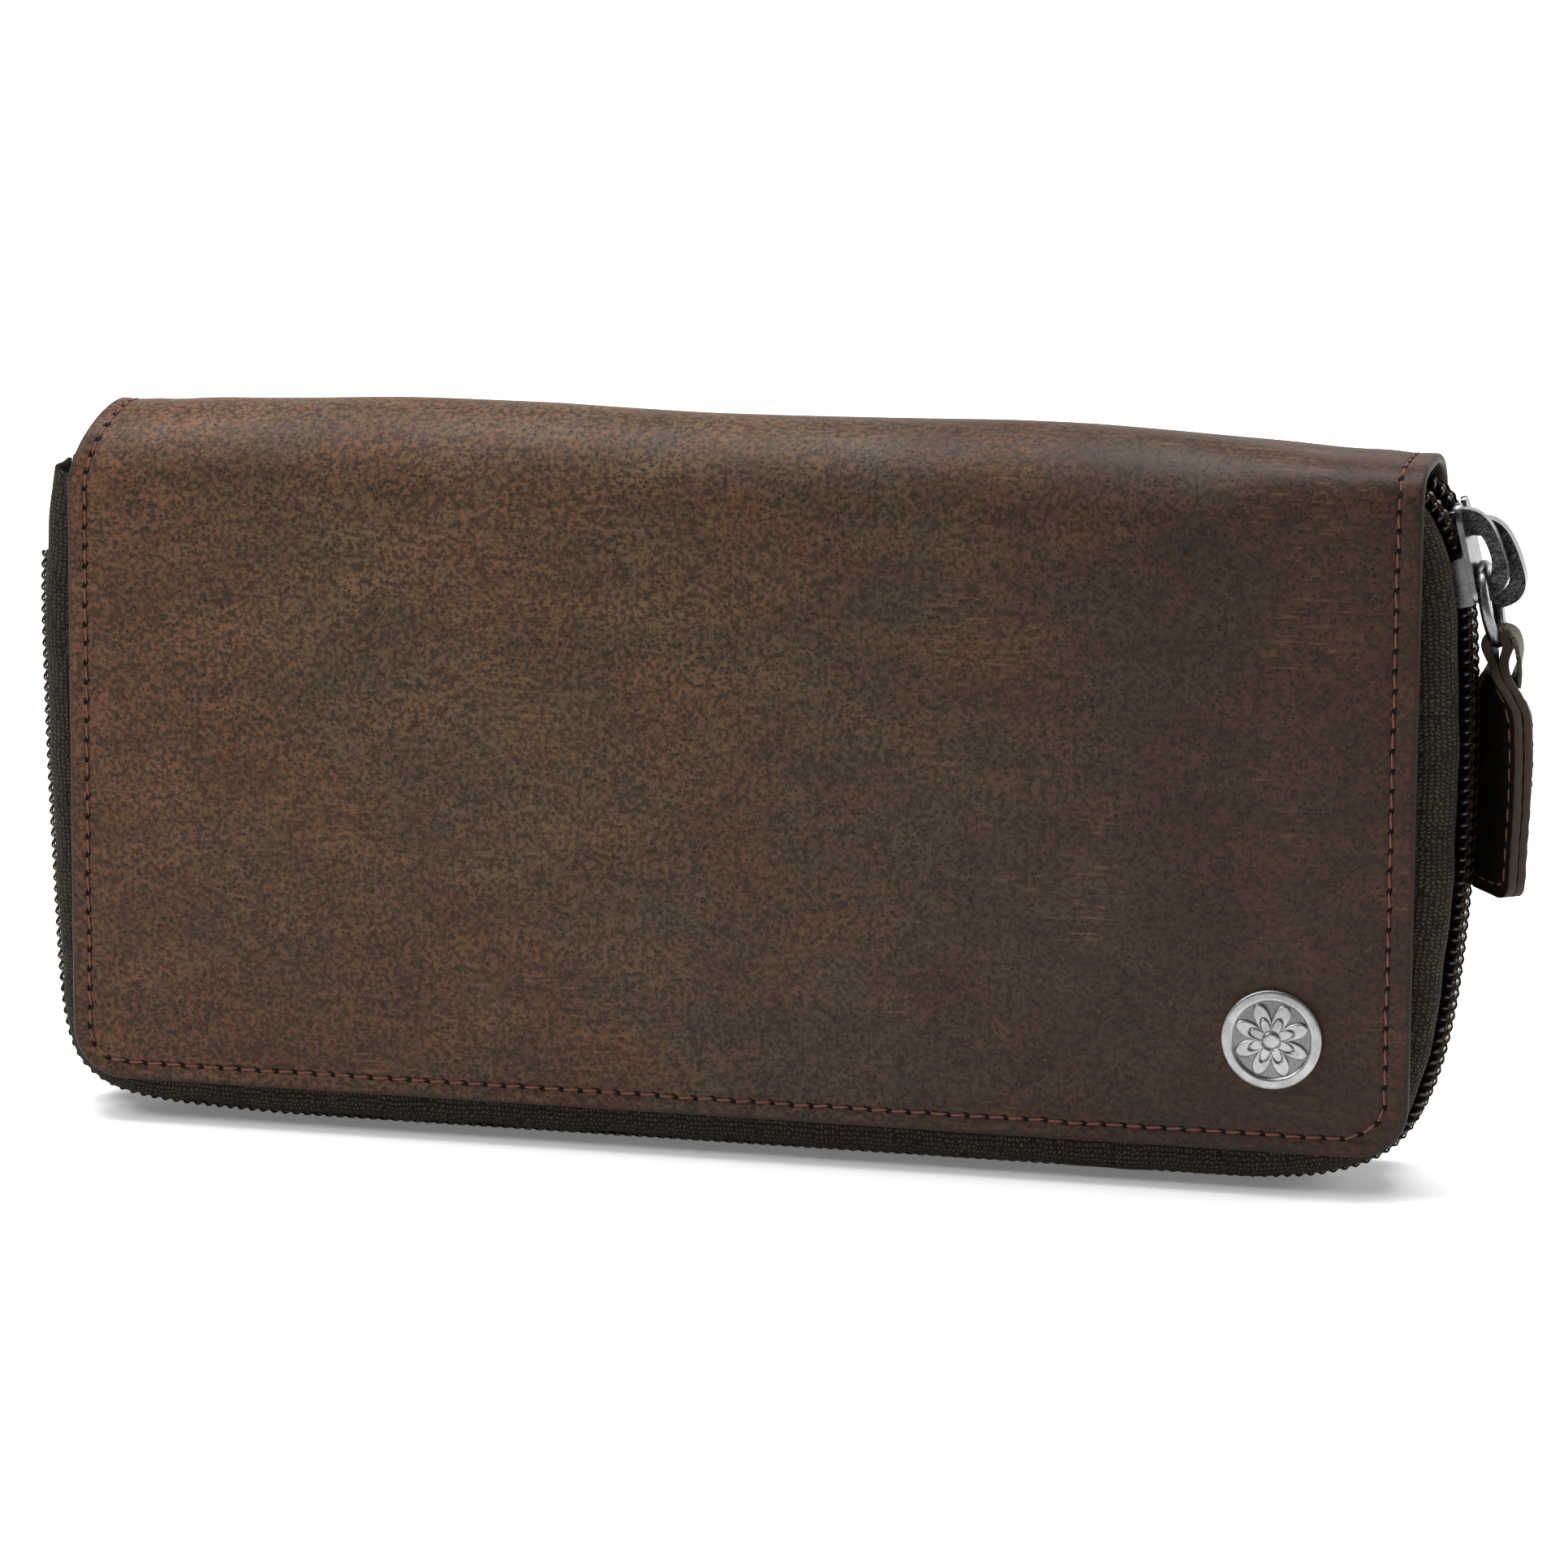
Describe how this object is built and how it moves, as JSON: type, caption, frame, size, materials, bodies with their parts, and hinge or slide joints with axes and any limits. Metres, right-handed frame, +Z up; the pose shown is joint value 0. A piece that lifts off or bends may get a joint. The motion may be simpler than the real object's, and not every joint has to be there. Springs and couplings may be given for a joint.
{
  "type": "zip-around wallet",
  "caption": "Long zip-around leather wallet standing on its zip, with a rounded spine, coil zip, slider with ring and leather pull, and a round metal badge.",
  "frame": {"origin": "under the middle of the whole part's box, at the height of the zip's lower face that the wallet stands on", "axes": "+X along the wallet's length towards the end with the slider, +Y towards the back cover (the front cover faces -Y), +Z up from the zip to the spine"},
  "size_m": [0.2056, 0.0264, 0.102],
  "materials": {
    "shell_leather": "waxed dark brown pull-up leather, mottled, satin",
    "pull_leather": "waxed brown leather with raw cut edges",
    "pocket_leather": "thin brown leather, satin",
    "lining_cloth": "plain woven dark lining",
    "board": "hidden stiffener board",
    "zip_tape": "dark olive-brown herringbone zip tape",
    "zip_nylon": "glossy black nylon coil",
    "gunmetal": "antique gunmetal, worn bright on its edges"
  },
  "bodies": {
    "shell": {"back_leather": "shell_leather", "back_stiffener": "board", "back_lining": "lining_cloth", "back_card_base": "pocket_leather", "back_card_pocket_lower": "pocket_leather", "back_card_pocket_upper": "pocket_leather", "spine_leather": "shell_leather", "spine_lining": "lining_cloth", "back_zip_tape": "zip_tape", "back_zip_coil": "zip_nylon", "front_zip_tape_end_left": "zip_tape", "front_zip_tape_end_right": "zip_tape", "front_zip_coil_end_left": "zip_nylon", "front_zip_coil_end_right": "zip_nylon", "gusset_left": "lining_cloth", "gusset_right": "lining_cloth"},
    "front_cover": {"front_leather": "shell_leather", "front_stiffener": "board", "front_lining": "lining_cloth", "front_card_base": "pocket_leather", "front_card_pocket_lower": "pocket_leather", "front_card_pocket_upper": "pocket_leather", "front_zip_tape": "zip_tape", "front_zip_coil": "zip_nylon", "badge_rivet": "gunmetal", "badge_washer": "gunmetal"},
    "coin_pocket": {"coin_front_wall": "pocket_leather", "coin_front_hem": "pocket_leather", "coin_back_wall": "pocket_leather", "coin_seam_spine": "pocket_leather", "coin_seam_left": "lining_cloth", "coin_seam_right": "lining_cloth", "coin_zip_tape_lower": "zip_tape", "coin_zip_tape_upper": "zip_tape", "coin_zip_coil_lower": "zip_nylon", "coin_zip_coil_upper": "zip_nylon"},
    "coin_slider": {"coin_slider": "gunmetal"},
    "coin_puller": {"coin_puller": "gunmetal"},
    "zip_slider": {"slider_body": "gunmetal"},
    "pull_ring": {"pull_ring": "gunmetal"},
    "pull_tab": {"pull_tab": "pull_leather"}
  },
  "joints": [
    {"name": "cover_open", "type": "hinge", "parent": "shell", "child": "front_cover", "pos_m": [-0.00282, 0.00065, 0.0895], "axis": [-1, 0, 0], "range_deg": [0, 60], "deforming": ["spine_leather", "spine_lining", "gusset_left", "gusset_right"]},
    {"name": "pocket_swing", "type": "hinge", "parent": "shell", "child": "coin_pocket", "pos_m": [-0.00282, 0.00065, 0.0895], "axis": [-1, 0, 0], "range_deg": [0, 30]},
    {"name": "zip_travel", "type": "hinge", "parent": "shell", "child": "zip_slider", "pos_m": [-0.04282, 0.00065, 0.057], "axis": [0, 1, 0], "range_deg": [0, 23.5]},
    {"name": "ring_swing", "type": "hinge", "parent": "zip_slider", "child": "pull_ring", "pos_m": [0.09773, 0.00065, 0.08571], "axis": [0, -1, 0], "range_deg": [0, 95]},
    {"name": "pull_swing", "type": "hinge", "parent": "pull_ring", "child": "pull_tab", "pos_m": [0.10007, 0.00065, 0.07558], "axis": [0, -1, 0], "range_deg": [-3, 40]},
    {"name": "coin_zip_travel", "type": "slide", "parent": "coin_pocket", "child": "coin_slider", "axis": [1, 0, 0], "range_m": [0, 0.136]},
    {"name": "coin_puller_swing", "type": "hinge", "parent": "coin_slider", "child": "coin_puller", "pos_m": [-0.07282, -0.0026, 0.024], "axis": [-1, 0, 0], "range_deg": [0, 13]}
  ],
  "couplings": [
    {"joint": "pocket_swing", "follows": "cover_open", "ratio": 0.5}
  ]
}
